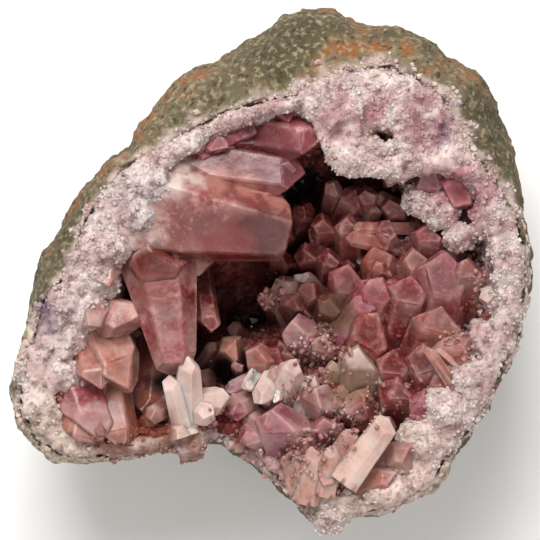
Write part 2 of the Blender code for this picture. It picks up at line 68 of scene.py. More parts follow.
# Each lamp: its name, where it stands in metres, its size and its power.
LAMPS = (
    ("key lamp", (-0.08, 0.34, 0.46), 0.34, 4.0),
    ("fill lamp", (0.10, -0.30, 0.60), 0.50, 1.5),
)
SKY = 0.32


def tint(red, green, blue):
    """A colour given as it looks on a screen, 0 to 255, as the shader's linear values."""
    shares = [value / 255 for value in (red, green, blue)]
    return (*[s / 12.92 if s <= 0.04045 else ((s + 0.055) / 1.055) ** 2.4 for s in shares], 1.0)


def feed(tree, socket, value):
    """Sets a socket, or links it where the value is another node's output."""
    if isinstance(value, bpy.types.NodeSocket):
        tree.links.new(value, socket)
    else:
        socket.default_value = value


def put(tree, kind, settings=None, **inputs):
    """Adds a node with its own settings, and feeds its inputs by name."""
    made = tree.nodes.new(kind)
    for name, value in (settings or {}).items():
        setattr(made, name, value)
    for name, value in inputs.items():
        feed(tree, made.inputs[name.replace("_", " ")], value)
    return made


def calc(tree, kind, operation, *values):
    """The outputs of a maths node of this kind, fed with the values in order."""
    made = put(tree, f"ShaderNode{kind}", {"operation": operation})
    for socket, value in zip(made.inputs, values):
        feed(tree, socket, value)
    return made.outputs


def remap(tree, value, low, high, least=0.0, most=1.0):
    """A value moved from the range low to high to the range least to most, and held to that."""
    made = put(tree, "ShaderNodeMapRange", Value=value, From_Min=low, From_Max=high, To_Min=least,
               To_Max=most)
    return made.outputs["Result"]


def new_group(name, inputs):
    """A shader node group with float or vector inputs that puts out one mask from 0 to 1."""
    group = bpy.data.node_groups.new(name, "ShaderNodeTree")
    for label, kind in inputs.items():
        group.interface.new_socket(label, in_out="INPUT", socket_type=f"NodeSocket{kind}")
    group.interface.new_socket("Mask", in_out="OUTPUT", socket_type="NodeSocketFloat")
    return group, group.nodes.new("NodeGroupInput").outputs, group.nodes.new("NodeGroupOutput").inputs


blotches, given, result = new_group(
    "blotches", {"Place": "Vector", "Size": "Float", "Detail": "Float", "Low": "Float", "High": "Float"}
)
scale = calc(blotches, "Math", "DIVIDE", 0.5, given["Size"])[0]
clouds = put(blotches, "ShaderNodeTexNoise", Vector=given["Place"], Scale=scale,
             Detail=given["Detail"])
cut = remap(blotches, clouds.outputs["Fac"], given["Low"], given["High"])
feed(blotches, result["Mask"], cut)


def grain(tree, place, size, detail=3.0, low=0.35, high=0.65):
    """A mask of soft blotches of about this size in metres."""
    made = put(tree, "ShaderNodeGroup", {"node_tree": blotches}, Place=place, Size=size,
               Detail=detail, Low=low, High=high)
    return made.outputs["Mask"]


def mix(tree, mask, below, above):
    """The colour below where the mask is 0, and the colour above where it is 1."""
    made = put(tree, "ShaderNodeMix", {"data_type": "RGBA"})
    for number, value in ((0, mask), (6, below), (7, above)):
        feed(tree, made.inputs[number], value)
    return made.outputs[2]


def new_material(name, **values):
    """A material's node tree, its shader and the object coordinates that its patterns follow."""
    material = bpy.data.materials.new(name)
    material.use_nodes = True
    tree = material.node_tree
    shader = tree.nodes["Principled BSDF"]
    for socket, value in values.items():
        shader.inputs[socket.replace("_", " ")].default_value = value
    place = put(tree, "ShaderNodeTexCoord").outputs["Object"]
    return material, tree, shader, place


bpy.ops.object.select_all(action="DESELECT")
bpy.ops.mesh.primitive_plane_add(size=3.0, location=(0, 0, -0.2 * MM))
table_top = bpy.context.object
table_top.name = "table_top"
paper, tree, shader, place = new_material("matt paper", Roughness=0.9)
fibres = grain(tree, place, 20 * MM)
feed(tree, shader.inputs["Base Color"], mix(tree, fibres, tint(244, 243, 241), tint(248, 247, 245)))
table_top.data.materials.append(paper)
table_top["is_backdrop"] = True

for name, place, size, power in LAMPS:
    bpy.ops.object.light_add(type="AREA", location=place)
    lamp = bpy.context.object
    lamp.name = name
    lamp.data.size = size
    lamp.data.energy = power
    aim = Vector(place) - Vector((0, 0, RIM_HEIGHT))
    lamp.rotation_euler = aim.to_track_quat("Z", "Y").to_euler()

world = bpy.data.worlds.new("studio")
bpy.context.scene.world = world
world.use_nodes = True
sky = world.node_tree.nodes["Background"].inputs
sky["Color"].default_value = tint(247, 243, 240)
sky["Strength"].default_value = SKY

bpy.ops.object.camera_add(location=(0, 0, CAMERA_HEIGHT), rotation=(0, 0, 0))
camera = bpy.context.object
camera.data.lens = camera.data.sensor_width * (CAMERA_HEIGHT - RIM_HEIGHT) / FIELD_WIDTH
camera.data.clip_start = 10 * MM
bpy.context.scene.camera = camera
bpy.context.scene.view_settings.view_transform = "Standard"


# ----------------------------------------
# The host rock: one bumpy, weathered shell of olive-grey volcanic rock, coarse and speckled where
# it broke, with rust along the crest and white sugar where it meets the quartz. It starts from the
# frame's solid, is made dense, and then takes knobs, pits and grit from displacement.
# ----------------------------------------
ROCK_VOXEL = 0.62 * MM
# Where rust streaks the rock, and where a thin cream crust covers it: middles in millimetres, how
# far round them it reaches, and colour.
RUST = [(middle, 9, tint(134, 82, 40)) for middle in (
    (-14, 33, 30), (-24, 20, 30), (5, 38, 38), (28, 35, 30), (16, 40, 36), (36, 28, 30),
    (-33, 8, 28), (41, 14, 26), (-40, -21, 30),
)]
CREAM = [(middle, reach, tint(214, 194, 172)) for middle, reach in (
    ((-41, -29, 30), 9), ((-34, -34, 30), 8), ((12, -44, 32), 5), ((25, -38, 32), 8),
    ((-42, -12, 34), 5), ((-20, -32, 30), 9),
)]


def select_only(piece):
    """Selects one piece, and works on it."""
    bpy.ops.object.select_all(action="DESELECT")
    piece.select_set(True)
    bpy.context.view_layer.objects.active = piece


def start_edit():
    """Opens the piece at hand with all its faces selected."""
    bpy.ops.object.mode_set(mode="EDIT")
    bpy.ops.mesh.select_all(action="SELECT")


def end_edit():
    """Closes the piece that is being edited."""
    bpy.ops.object.mode_set(mode="OBJECT")


def apply_all(piece):
    """Applies a piece's modifiers in order."""
    select_only(piece)
    for modifier in list(piece.modifiers):
        bpy.ops.object.modifier_apply(modifier=modifier.name)


def copy_of_node(node, name):
    """A copy of one of the frame's solids with its triangles joined at their corners."""
    piece = bpy.data.objects.new(name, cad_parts[node].data.copy())
    bpy.context.scene.collection.objects.link(piece)
    piece.data.materials.clear()
    select_only(piece)
    start_edit()
    bpy.ops.mesh.remove_doubles(threshold=0.01 * MM)
    end_edit()
    return piece


def make_dense(piece, voxel, smoothing):
    """Rebuilds a piece in small even faces and wears its edges down."""
    dense = piece.modifiers.new("dense", "REMESH")
    dense.mode = "VOXEL"
    dense.voxel_size = voxel
    worn = piece.modifiers.new("worn", "SMOOTH")
    worn.factor = 0.5
    worn.iterations = smoothing
    apply_all(piece)


def roughen(piece, kind, size, depth, middle=0.5, **settings):
    """Adds relief of a size and depth in metres. A middle of 1 only cuts in, and 0 only builds up."""
    pattern = bpy.data.textures.new(f"{piece.name} {kind} {size}", kind)
    pattern.noise_scale = size
    for name, value in settings.items():
        setattr(pattern, name, value)
    lumps = piece.modifiers.new("lumps", "DISPLACE")
    lumps.texture = pattern
    lumps.strength = depth
    lumps.mid_level = middle
    apply_all(piece)


def keep_inside(piece):
    """Presses a piece's points back inside the box of the frame's solids."""
    low, high = CAD_BOX
    for vertex in piece.data.vertices:
        vertex.co = [min(max(c, a), b) for c, a, b in zip(vertex.co, low, high)]


def stand_for(piece, node, finish):
    """Gives a piece its finish, sets it under the root body and hides the solid it stands for."""
    piece.data.materials.clear()
    piece.data.materials.append(finish)
    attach(piece, "root")
    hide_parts(node)


patch, given, result = new_group(
    "patch", {"Place": "Vector", "Centre": "Vector", "Reach": "Float", "Ragged": "Float"}
)
edge = put(patch, "ShaderNodeTexNoise", Vector=given["Place"], Scale=0.3 / MM, Detail=4.0)
stray = calc(patch, "VectorMath", "SUBTRACT", edge.outputs["Color"], (0.5, 0.5, 0.5))[0]
strayed = calc(patch, "VectorMath", "MULTIPLY_ADD", stray, given["Ragged"], given["Place"])[0]
away = calc(patch, "VectorMath", "DISTANCE", strayed, given["Centre"])["Value"]
share = calc(patch, "Math", "DIVIDE", away, given["Reach"])[0]
feed(patch, result["Mask"], remap(patch, share, 1.25, 0.75))


def zone(tree, place, centre, reach, ragged):
    """A mask that is 1 inside a ragged ball, given in millimetres."""
    made = put(tree, "ShaderNodeGroup", {"node_tree": patch}, Place=place, Reach=reach * MM,
               Centre=[c * MM for c in centre], Ragged=ragged * MM)
    return made.outputs["Mask"]


def both(tree, first, second):
    """One mask times another, or times a share."""
    return calc(tree, "Math", "MULTIPLY", first, second)[0]


def paint(tree, place, colour, stains, ragged, mask):
    """Lays stains over a colour, through a mask. Each has its middle, its reach and its colour."""
    for centre, reach, stain in stains:
        stained = both(tree, zone(tree, place, centre, reach, ragged), mask)
        colour = mix(tree, stained, colour, stain)
    return colour


def stored(tree, name):
    """A value that the points of a piece carry."""
    return put(tree, "ShaderNodeAttribute", {"attribute_name": name}).outputs["Fac"]


def relief(tree, shader, height, depth):
    """Fine relief in a material, as deep as this in metres."""
    bump = put(tree, "ShaderNodeBump", Height=height, Strength=1.0, Distance=depth)
    feed(tree, shader.inputs["Normal"], bump.outputs["Normal"])


# Whole faces are selected in every edit from here on.
bpy.context.tool_settings.mesh_select_mode = (False, False, True)
host_rock = copy_of_node("host_rock_rind", "host_rock")
make_dense(host_rock, ROCK_VOXEL, 5)
roughen(host_rock, "CLOUDS", 7 * MM, 2.2 * MM, 0.56)
roughen(host_rock, "VORONOI", 3.2 * MM, 0.9 * MM, 0.45)
roughen(host_rock, "CLOUDS", 1.3 * MM, 0.8 * MM, 0.55, noise_depth=3)
keep_inside(host_rock)
bpy.ops.object.shade_smooth()

rock_finish, tree, shader, place = new_material("weathered rock", Roughness=0.92)
colour = mix(tree, grain(tree, place, 7 * MM, 4), tint(74, 64, 42), tint(112, 102, 78))
bands = grain(tree, place, 7 * MM, 5, 0.44, 0.56)
streaks = both(tree, bands, grain(tree, place, 1.2 * MM, 4, 0.36, 0.58))
colour = paint(tree, place, colour, RUST, 14, streaks)
colour = paint(tree, place, colour, CREAM, 5, grain(tree, place, 1.6 * MM, 4, 0.3, 0.55))
pale = mix(tree, grain(tree, place, 0.5 * MM, 5, 0.5, 0.72), colour, tint(154, 141, 112))
dark = mix(tree, grain(tree, place, 0.55 * MM, 5, 0.53, 0.7), pale, tint(54, 44, 28))
sugared = both(tree, stored(tree, "rim"), grain(tree, place, 1.2 * MM, 4, 0.3, 0.6))
feed(tree, shader.inputs["Base Color"], mix(tree, sugared, dark, tint(200, 180, 168)))
relief(tree, shader, grain(tree, place, 0.35 * MM, 4, 0.2, 0.8), 0.2 * MM)
stand_for(host_rock, "host_rock_rind", rock_finish)


# ----------------------------------------
# The quartz lining: white, sugary quartz between the rock and the hollow, broad at one side where
# a small vug opens through it. It starts from the frame's solid and takes lumps of crystal size.
# ----------------------------------------
QUARTZ_VOXEL = 0.52 * MM
# Where the quartz is stained mauve, grey, brown or cream: middle, reach and colour.
QUARTZ_STAINS = (
    ((25, 25, 38), 5.5, tint(166, 112, 118)), ((11, 25.5, 38), 5, tint(158, 100, 108)),
    ((18.5, 26.5, 38), 4.5, tint(168, 116, 118)), ((28.6, 22.4, 38), 3, tint(104, 66, 80)),
    ((33, 13, 38), 6, tint(172, 118, 124)), ((-38, -8, 36), 5, tint(128, 108, 122)),
    ((19, 30, 38), 2.4, tint(120, 96, 66)), ((-20, 12, 37), 6, tint(206, 190, 188)),
    ((20, -36, 36), 12, tint(216, 190, 178)), ((0, -32, 35), 8, tint(176, 132, 130)),
    ((-36, -28, 35), 7, tint(196, 176, 160)), ((-20, -31, 33), 10, tint(128, 80, 58)),
)
# Lumps of fused crystals that the quartz stands up in, inside the rim: middle and radius.
LUMPS = (
    ((-19.5, 16.0, 35.5), 4.2), ((-24.0, 10.5, 35.0), 4.8), ((-27.0, 5.0, 35.0), 4.4),
    ((-29.4, -0.6, 34.6), 4.4), ((-31.6, -6.4, 34.4), 4.0), ((-34.6, -11.6, 34.4), 3.8),
    ((-35.6, -17.6, 33.6), 3.6), ((37.6, 8.6, 35.4), 4.0), ((39.6, 1.6, 35.0), 3.4),
    ((39.4, -5.6, 34.6), 3.6), ((37.4, -12.0, 34.4), 4.0), ((33.6, -18.4, 34.0), 4.6),
    ((30.0, -23.6, 33.6), 4.8), ((26.0, -28.6, 33.0), 4.4), ((28.6, 10.0, 34.6), 3.2),
    ((24.6, 11.4, 34.6), 2.4), ((31.6, 5.4, 35.8), 2.4), ((-13.2, -29.8, 32.6), 2.4),
    ((10.0, -41.4, 31.6), 3.0), ((19.6, -36.6, 32.6), 3.8), ((-19.6, 14.4, 38.0), 3.8),
    ((-22.0, 9.6, 38.0), 3.6), ((-26.4, 4.0, 37.2), 3.2),
)


def join(pieces, name):
    """Joins pieces into the last one."""
    bpy.ops.object.select_all(action="DESELECT")
    for piece in pieces:
        piece.select_set(True)
    bpy.context.view_layer.objects.active = pieces[-1]
    bpy.ops.object.join()
    bpy.context.object.name = name
    return bpy.context.object


def add_knob(place, width, height):
    """An egg of stone that will be melted into a bigger piece, its half width and half height."""
    bpy.ops.mesh.primitive_uv_sphere_add(segments=24, ring_count=12, radius=1)
    knob = bpy.context.object
    knob.scale = (width * MM, width * MM, height * MM)
    knob.location = [c * MM for c in place]
    bpy.ops.object.transform_apply(location=True, rotation=False, scale=True)
    return knob


lumps = [add_knob(place, radius, radius) for place, radius in LUMPS]
quartz = join([*lumps, copy_of_node("quartz_lining", "quartz_band")], "quartz_band")
make_dense(quartz, QUARTZ_VOXEL, 3)
roughen(quartz, "CLOUDS", 3.2 * MM, 2.0 * MM, 0.32)
roughen(quartz, "VORONOI", 1.5 * MM, -0.6 * MM, 0.4)
roughen(quartz, "CLOUDS", 0.8 * MM, 0.6 * MM, 0.5, noise_depth=2)
keep_inside(quartz)
bpy.ops.object.shade_smooth()

quartz_finish, tree, shader, place = new_material(
    "white quartz", Roughness=0.5, IOR=1.54, Subsurface_Weight=0.8, Subsurface_Scale=1.8 * MM,
    Subsurface_Radius=(1.0, 0.8, 0.75),
)
colour = mix(tree, grain(tree, place, 2.2 * MM, 4), tint(178, 143, 139), tint(220, 200, 193))
warm = both(tree, stored(tree, "shade"), grain(tree, place, 3 * MM, 3))
colour = mix(tree, warm, colour, tint(214, 178, 172))
colour = paint(tree, place, colour, QUARTZ_STAINS, 5, grain(tree, place, 1.8 * MM, 4, 0.3, 0.55))
# Fine dark spots: painted shade of small pits in the quartz.
colour = mix(tree, grain(tree, place, 0.9 * MM, 4, 0.53, 0.7), colour, tint(134, 100, 98))
feed(tree, shader.inputs["Base Color"], colour)
relief(tree, shader, grain(tree, place, 0.4 * MM, 3, 0.2, 0.8), 0.2 * MM)
stand_for(quartz, "quartz_lining", quartz_finish)


# ----------------------------------------
# The druse on the quartz: thousands of small white points that stand side by side on the shelf
# and round the mouth of the hollow, and creep over the rim of the rock. A few masters are cut from
# bars, then set on the quartz by geometry nodes and made one mesh.
# ----------------------------------------
# How steeply the end faces of a crystal rise, in degrees.
POINT_SLOPE = 40
DRUSE_SEED = 5
# The heights in millimetres between which druse begins, on the quartz and on the rock.
QUARTZ_RISE = (27, 30)
ROCK_RISE = (29, 32)


def slice_off(azimuth, slope, place):
    """Cuts away all that lies beyond a plane, whose normal leans up from an azimuth by a slope."""
    level = Vector((math.cos(azimuth), math.sin(azimuth), 0)) * math.cos(slope)
    bpy.ops.mesh.select_all(action="SELECT")
    bpy.ops.mesh.bisect(
        plane_co=place, plane_no=level + Vector((0, 0, math.sin(slope))), use_fill=True,
        clear_outer=True,
    )


def cut_crystal(width, length, blunt, spread, growth, faces=None, sides=6):
    """A bar cut to six unequal sides, and to three broad and three narrow end faces with a ridge
    across its tip at the origin, or to end faces of its own. It stays in edit mode."""
    half = width / 2
    apothem = half * math.cos(math.radians(30))
    flare = math.atan2(apothem * (spread - 1), length)
    ridge = blunt * half / math.tan(math.radians(POINT_SLOPE))
    bpy.ops.mesh.primitive_cube_add(size=1)
    bpy.ops.object.mode_set(mode="EDIT")
    bpy.ops.transform.resize(value=(3 * width, 3 * width, 2 * length))
    slice_off(0, math.radians(-90), (0, 0, -length))
    for side in range(sides):
        azimuth = math.radians(360 / sides * side)
        out = Vector((math.cos(azimuth), math.sin(azimuth), 0)) * apothem * growth.uniform(0.86, 1.06)
        slice_off(azimuth + math.radians(growth.uniform(-4, 4)), flare, out)
    ends = [
        (60 * side + growth.uniform(-8, 8), POINT_SLOPE + growth.uniform(-8, 8),
         ridge * abs(math.sin(math.radians(60 * side))) + half * (side % 2) * growth.uniform(0.4, 0.9))
        for side in range(6)
    ]
    for azimuth, slope, back in ends if faces is None else faces:
        slice_off(math.radians(azimuth), math.radians(slope), (0, 0, back))
    return bpy.context.object


def cut_masters(name, lengths, growth, sides=6):
    """A collection of crystals 1 wide, one for each length that stands above the surface, with a
    root half as long as it is wide. The finest have only four sides and three end faces."""
    masters = bpy.data.collections.new(name)
    for length in lengths:
        faces = None
        if sides < 6:
            faces = [(120 * side + growth.uniform(-20, 20), POINT_SLOPE, 0) for side in range(3)]
        blunt = growth.uniform(0.1, 0.5)
        master = cut_crystal(1.0, length + 0.5, blunt, 1.1, growth, faces, sides)
        end_edit()
        master.data.transform(Matrix.Translation((0, 0, length)))
        for home in list(master.users_collection):
            home.objects.unlink(master)
        masters.objects.link(master)
    return masters


def scatter(surface, name, masters, layer, spacing, sizes, tilt, upright, seed):
    """A mesh of many crystals on a copy of a surface, closest where this layer of it is 1. Their
    spacing and widths are in millimetres. They lean from the surface's normal towards straight up,
    and by a random tilt in degrees."""
    spacing, tilt = spacing * MM, math.radians(tilt)
    tree = bpy.data.node_groups.new(name, "GeometryNodeTree")
    for way in ("INPUT", "OUTPUT"):
        tree.interface.new_socket("Geometry", in_out=way, socket_type="NodeSocketGeometry")
    start, end = tree.nodes.new("NodeGroupInput"), tree.nodes.new("NodeGroupOutput")
    thick = put(tree, "GeometryNodeInputNamedAttribute", {"data_type": "FLOAT"}, Name=layer)
    points = put(
        tree, "GeometryNodeDistributePointsOnFaces", {"distribute_method": "POISSON"},
        Mesh=start.outputs[0], Distance_Min=spacing, Density_Max=2 / spacing ** 2,
        Density_Factor=thick.outputs["Attribute"], Seed=seed,
    )
    lift = calc(tree, "VectorMath", "ADD", points.outputs["Normal"], (0, 0, upright))[0]
    stand = put(tree, "FunctionNodeAlignRotationToVector", {"axis": "Z"}, Vector=lift)
    sway = put(tree, "FunctionNodeRandomValue", {"data_type": "FLOAT_VECTOR"}, Seed=seed + 1)
    sway.inputs[0].default_value = (-tilt, -tilt, 0)
    sway.inputs[1].default_value = (tilt, tilt, math.tau)
    swayed = put(tree, "FunctionNodeEulerToRotation", Euler=sway.outputs[0])
    turned = put(tree, "FunctionNodeRotateRotation", {"rotation_space": "LOCAL"},
                 Rotation=stand.outputs[0], Rotate_By=swayed.outputs[0])
    scale = put(tree, "FunctionNodeRandomValue", {"data_type": "FLOAT"}, Seed=seed + 2)
    scale.inputs[2].default_value, scale.inputs[3].default_value = [size * MM for size in sizes]
    kinds = put(tree, "GeometryNodeCollectionInfo", Collection=masters, Separate_Children=True,
                Reset_Children=True)
    crystals = put(
        tree, "GeometryNodeInstanceOnPoints", Points=points.outputs["Points"],
        Instance=kinds.outputs[0], Pick_Instance=True, Rotation=turned.outputs[0],
        Scale=scale.outputs[1],
    )
    shade = put(tree, "FunctionNodeRandomValue", {"data_type": "FLOAT"}, Seed=seed + 3)
    kept = put(tree, "GeometryNodeStoreNamedAttribute", {"data_type": "FLOAT", "domain": "INSTANCE"},
               Geometry=crystals.outputs[0], Name="shade", Value=shade.outputs[1])
    real = put(tree, "GeometryNodeRealizeInstances", Geometry=kept.outputs[0])
    feed(tree, end.inputs[0], real.outputs[0])
    piece = bpy.data.objects.new(name, surface.data.copy())
    bpy.context.scene.collection.objects.link(piece)
    piece.modifiers.new("scatter", "NODES").node_group = tree
    apply_all(piece)
    keep_inside(piece)
    # Drops the faces that this has flattened.
    piece.data.validate()
    return piece


def add_layer(piece, name, value_at):
    """Stores a value for each point of a piece, worked out from its place in millimetres."""
    values = [value_at(vertex.co / MM, vertex.normal) for vertex in piece.data.vertices]
    piece.data.attributes.new(name, "FLOAT", "POINT").data.foreach_set("value", values)


def ramp(value, low, high):
    """0 up to the low value, 1 from the high value on."""
    return min(1.0, max(0.0, (value - low) / (high - low)))


def nearest(place, spots):
    """How far a place is from the nearest of some spots, beside that spot's reach."""
    return min(math.hypot(place.x - x, place.y - y) / reach for x, y, reach in spots)


# Where the quartz is smooth and glassy instead of sugary: place and reach.
SMOOTH = ((-38, -12, 8), (-36, -24, 9), (-30, -30, 7), (-20, -30, 8), (20, -36, 9), (0, -33, 6),
          (36, -12, 5), (30, 18, 4), (11, 24, 4))


def sugar_share(place):
    """How close the druse stands: thin where the quartz is smooth."""
    return 0.3 + 0.55 * ramp(nearest(place, SMOOTH), 0.6, 1.1)


growth = random.Random(DRUSE_SEED)
add_layer(quartz, "growth", lambda place, normal: (
    ramp(place.z, *QUARTZ_RISE) * ramp(normal.z, -0.3, 0.3) * sugar_share(place)
))
quartz_masters = cut_masters("quartz points", (0.15, 0.35, 0.7), growth, sides=4)
sugar = scatter(quartz, "quartz_druse", quartz_masters, "growth", spacing=0.5, sizes=(0.25, 0.85),
                tilt=35, upright=0.3, seed=DRUSE_SEED)
stand_for(sugar, "quartz_lining", quartz_finish)

lining_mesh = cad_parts["quartz_lining"].data
QUARTZ_WALL = BVHTree.FromPolygons(
    [vertex.co for vertex in lining_mesh.vertices], [face.vertices for face in lining_mesh.polygons]
)


def rim_share(place, normal):
    """1 on the rock beside the quartz, where the druse creeps over it in ragged patches."""
    away = QUARTZ_WALL.find_nearest(place * MM)[3] / MM
    ragged = 1.6 + 1.6 * noise.noise(place / 3)
    near = 1 - ramp(away, 0.4 * ragged, 1.4 * ragged)
    return near * ramp(place.z, *ROCK_RISE) * ramp(normal.z, -0.2, 0.3)


add_layer(host_rock, "rim", rim_share)
creeping = scatter(host_rock, "rim_druse", quartz_masters, "rim", spacing=0.6, sizes=(0.4, 1.2),
                   tilt=35, upright=0.3, seed=51)
stand_for(creeping, "quartz_lining", quartz_finish)


# ----------------------------------------
# The bed of the hollow: the fused roots of the amethyst, a rough floor with knolls that carry the
# crystals. It starts from the hollow side of the lining, thickened, and is joined to the knolls.
# ----------------------------------------
# The middle of the hollow, which its sides face.
HOLLOW_FOCUS = Vector((2.0, -1.0, 24.0)) * MM
# The heights between which the lining stands round the hollow, and the height of its lip.
HOLLOW_LOW = 14.0 * MM
HOLLOW_HIGH = 32.0 * MM
LIP_HEIGHT = 34.5 * MM
# How far what grows in the hollow may reach into the lining.
BURIED = 1.5 * MM
BED_THICKNESS = 2.0 * MM
# Above this height the lining carries no bed.
BED_TOP = 33.0 * MM
# The knolls: the top of each one, and its radius.
KNOLLS = (
    ((24.0, -8.0, 30.0), 14.0), ((11.0, -23.0, 31.5), 13.0), ((-28.0, -20.0, 31.5), 9.0),
    ((28.0, 5.0, 31.5), 9.0), ((-2.0, -17.0, 26.5), 9.0), ((16.0, 9.0, 23.0), 10.0),
    ((-14.5, -23.5, 30.5), 6.0),
)
# The height of every knoll's middle, and how far above it the knoll is cut off flat, so that it
# stays inside the rind.
KNOLL_MIDDLE = 9.5
KNOLL_CUT = 2.0
# The darkest gaps, down which no light comes: middle and reach.
VOIDS = (((-5.5, -6.3, 20), 6), ((-6.3, -17, 24), 4), ((-18.7, -20, 26), 3), ((5, 15, 20), 4))


def keep_in_hollow(piece, overlap=0.0):
    """Presses what would reach through the quartz lining back to just behind its hollow side. Above
    the lining's lip it may lie this much further over the quartz."""
    for vertex in piece.data.vertices:
        height = min(vertex.co.z, HOLLOW_HIGH)
        middle = Vector((HOLLOW_FOCUS.x, HOLLOW_FOCUS.y, max(height, HOLLOW_LOW)))
        out = Vector((vertex.co.x, vertex.co.y, height)) - middle
        wall, _, _, distance = QUARTZ_WALL.ray_cast(middle, out)
        reach = BURIED + (overlap if vertex.co.z > LIP_HEIGHT else 0.0)
        if wall and out.length > distance + reach:
            pressed = middle + out.normalized() * (distance + reach)
            vertex.co = (pressed.x, pressed.y, pressed.z + vertex.co.z - height)


bed = copy_of_node("quartz_lining", "crystal_bed")
for face in bed.data.polygons:
    faces_rock = face.normal.dot(HOLLOW_FOCUS - face.center) <= 0
    face.select = faces_rock or face.center.z > BED_TOP
bpy.ops.object.mode_set(mode="EDIT")
bpy.ops.mesh.delete(type="FACE")
end_edit()
thick = bed.modifiers.new("thick", "SOLIDIFY")
thick.thickness = BED_THICKNESS
thick.offset = 0.6
apply_all(bed)
knolls = []
for (x, y, top), radius in KNOLLS:
    knoll = add_knob((x, y, KNOLL_MIDDLE), radius, top - KNOLL_MIDDLE)
    start_edit()
    bpy.ops.mesh.bisect(
        plane_co=(0, 0, (KNOLL_MIDDLE + KNOLL_CUT) * MM), plane_no=(0, 0, -1), use_fill=True,
        clear_outer=True,
    )
    end_edit()
    knolls.append(knoll)
bed = join([*knolls, bed], "crystal_bed")
make_dense(bed, 0.6 * MM, 2)
roughen(bed, "CLOUDS", 3.0 * MM, 2.0 * MM, 0.5)
roughen(bed, "VORONOI", 1.6 * MM, 1.2 * MM, 0.4)
keep_in_hollow(bed)
keep_inside(bed)

bed_finish, tree, shader, place = new_material(
    "crystal roots", Roughness=0.5, IOR=1.54, Specular_IOR_Level=0.15,
)
roots = mix(tree, grain(tree, place, 4 * MM), tint(70, 22, 19), tint(118, 54, 46))
# Painted shade: the darkest gaps are painted near black, as no light comes down them.
for centre, reach in VOIDS:
    roots = mix(tree, zone(tree, place, centre, reach, 2), roots, tint(20, 6, 5))
feed(tree, shader.inputs["Base Color"], roots)
stand_for(bed, "amethyst_crust", bed_finish)


# ----------------------------------------
# The big crystals: six-sided prisms of pink amethyst that end in blunt, unequal faces. Each one
# is a bar cut by planes, with worn edges and slightly uneven faces, and its root stands in the
# quartz wall. The stone is milky, with painted light along its edges and painted deep red shade
# in the middle of its clear faces.
# ----------------------------------------
CRYSTAL_SEED = 17
# In millimetres: how deep a root stands in the quartz, and how long a crystal gets above it.
ROOT_DEPTH = 2.0
LONGEST_CRYSTAL = 40.0
# A crystal is at least this many times as long as it is wide.
SHORTEST_SHARE = 2
# How wide a worn edge is beside its crystal's width.
EDGE_WEAR = 0.028
# A face is a broad one, and not a worn edge or corner, where its area is more than these shares of
# its crystal's width squared and of its own longest side squared.
BROAD_AREA = 0.02
BROAD_SHAPE = 0.08
# How often each side of a face is divided, so that the face can be uneven.
FACE_CUTS = 3
# Faces that meet at more than this keep a sharp edge.
EDGE_ANGLE = math.radians(16)


class Crystal(NamedTuple):
    """One crystal: its tip in millimetres, the heading of its axis in the XY plane, how steeply
    it rises, its width, its thickness over its width, its turn about its own axis, how long the
    ridge at its end is beside its width, how much wider its root is than its end, its colour
    from peach (0) over rose to mauve (1), how milky it is, and its end faces where they are its
    own: the azimuth and slope of each in degrees, and how far past the tip it meets the axis."""

    tip: tuple
    heading: float
    rise: float
    width: float
    flat: float = 0.85
    turn: float = 0.0
    blunt: float = 0.25
    spread: float = 1.15
    tone: float = 0.5
    milk: float = 0.2
    faces: tuple = None


# The crystals, part by part. Each row gives the values of one crystal in the order above.
UPPER_LEFT = (
    ((2.6, 6.6, 36.2), -13, 8, 11.0, 0.85, -14, 0.85, 2.2, 0.42, 0.15,
     ((119, 70, 0.0), (0, 45, 5.0), (180, 40, 4.4))),
    ((-15.8, -16.6, 37.5), -80, 12, 7.0, 0.7, 24, 0.7, 2.6, 0.62, 0.3,
     ((-90, 75, 0.0), (0, 40, 3.0), (180, 35, 2.6))),
    ((-19.0, 3.4, 39.4), 96, 58, 10.4, 0.85, 30, 0.45, 1.2, 0.38, 0.1),
    ((-9.4, 1.4, 33.5), 4, 10, 4.6, 0.45, 0, 0.2, 1.15, 0.4, 0.2),
    ((-13.6, 6.0, 30.5), -40, 30, 6.0, 0.85, 10, 0.2, 1.15, 0.5, 0.0),
    ((-10.2, -10.2, 30.5), -80, 40, 4.6, 0.8, 15, 0.3, 1.15, 0.5, 0.1),
)
UPPER_EDGE = (
    ((5.0, 15.4, 36.5), -8, 7, 7.4, 0.75, 14, 0.4, 1.3, 0.6, 0.05),
    ((8.0, 21.2, 38.5), -12, 24, 8.0, 0.75, 30, 0.5, 1.15, 0.85, 0.3),
    ((2.6, 24.8, 39.2), -64, 50, 5.6, 0.8, 12, 0.35, 1.15, 0.9, 0.4),
    ((-7.4, 20.2, 38.8), -34, 40, 5.0, 0.8, 30, 0.35, 1.15, 0.8, 0.4),
    ((12.4, 23.2, 38.8), -118, 52, 5.0, 0.8, 30, 0.35, 1.15, 0.9, 0.4),
    ((-3.0, 22.3, 38.5), -14, 24, 5.4, 0.8, 10, 0.4, 1.15, 0.9, 0.3),
    ((24.6, 14.6, 36.5), -150, 42, 6.6, 0.85, 10, 0.4, 1.15, 0.9, 0.3),
    ((30.0, 11.4, 37.5), -105, 46, 7.4, 0.85, 20, 0.45, 1.15, 0.9, 0.5),
    ((19.4, 14.2, 35.5), -100, 30, 4.0, 0.85, 15, 0.3, 1.15, 0.8, 0.3),
)
